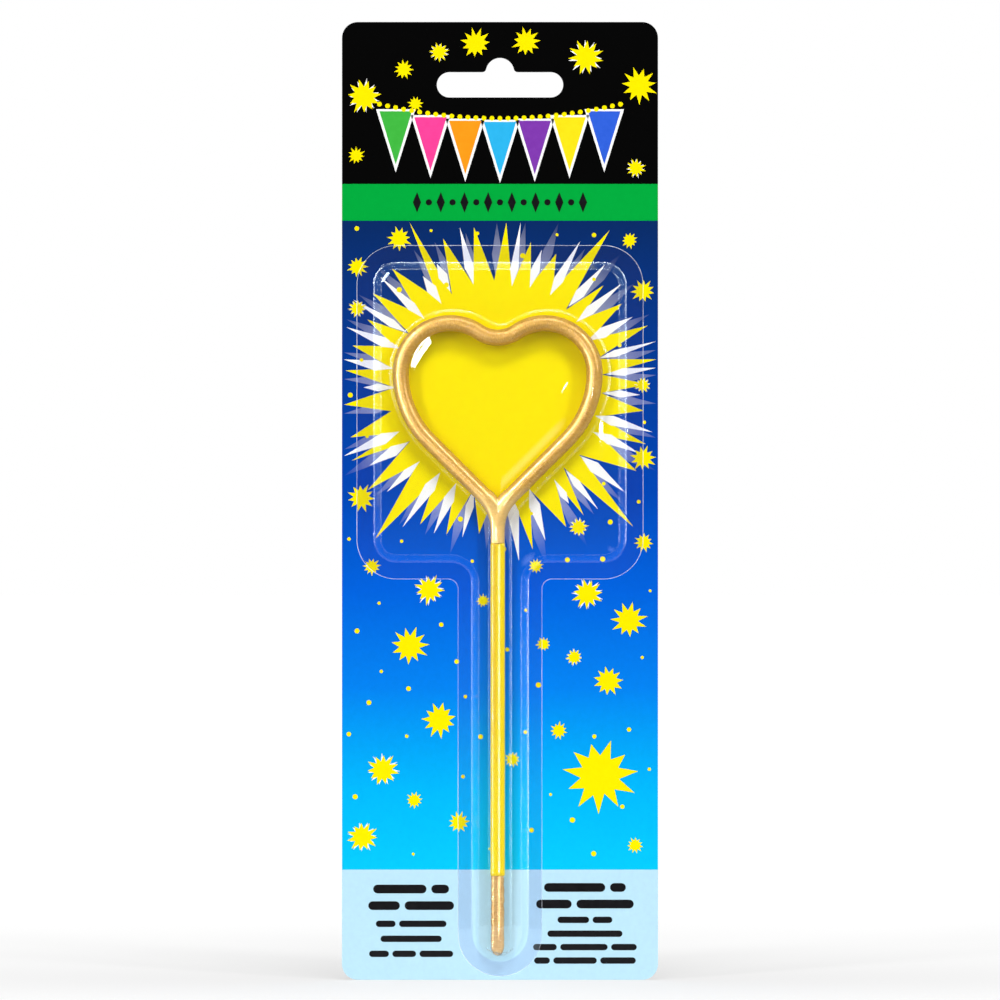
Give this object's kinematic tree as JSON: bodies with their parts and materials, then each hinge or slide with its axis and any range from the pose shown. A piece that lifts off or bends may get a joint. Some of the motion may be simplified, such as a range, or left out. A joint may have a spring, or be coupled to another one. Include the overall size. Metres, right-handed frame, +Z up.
{
  "type": "cake sparkler in a blister pack",
  "caption": "Heart-shaped gold cake sparkler with a yellow-sleeved stem, packed on a printed hang card under a clear formed blister that lifts off.",
  "frame": {"origin": "on the axis of the peg that carries the card, at the centre of the hang slot's round notch, in the card's back face", "axes": "+Z up along the card, -Y out of the card's printed front, +X to the right seen from the front"},
  "size_m": [0.08, 0.0071, 0.2425],
  "materials": {
    "printed_board": "glossy print on white board",
    "seal_lacquer": "clear, glossy",
    "clear_sheet": "clear, glossy",
    "wire_steel": "drawn wire",
    "gold_coat": "grainy gold coat with a soft sheen",
    "yellow_sleeve": "glossy",
    "gold_dip": "gold dip with a soft sheen"
  },
  "bodies": {
    "card": {"backing_card": "printed_board", "seal_coat": "seal_lacquer"},
    "blister": {"blister_shell": "clear_sheet"},
    "sparkler": {"core_wire": "wire_steel", "heart_coating": "gold_coat", "stem_sleeve": "yellow_sleeve", "tip_coating": "gold_dip"}
  },
  "joints": [
    {"name": "blister_lift", "type": "slide", "parent": "card", "child": "blister", "axis": [0, -1, 0], "range_m": [0, 0.04]},
    {"name": "sparkler_lift", "type": "slide", "parent": "card", "child": "sparkler", "axis": [0, -1, 0], "range_m": [0, 0.02]}
  ],
  "couplings": [
    {"joint": "sparkler_lift", "follows": "blister_lift", "ratio": 0.5}
  ]
}
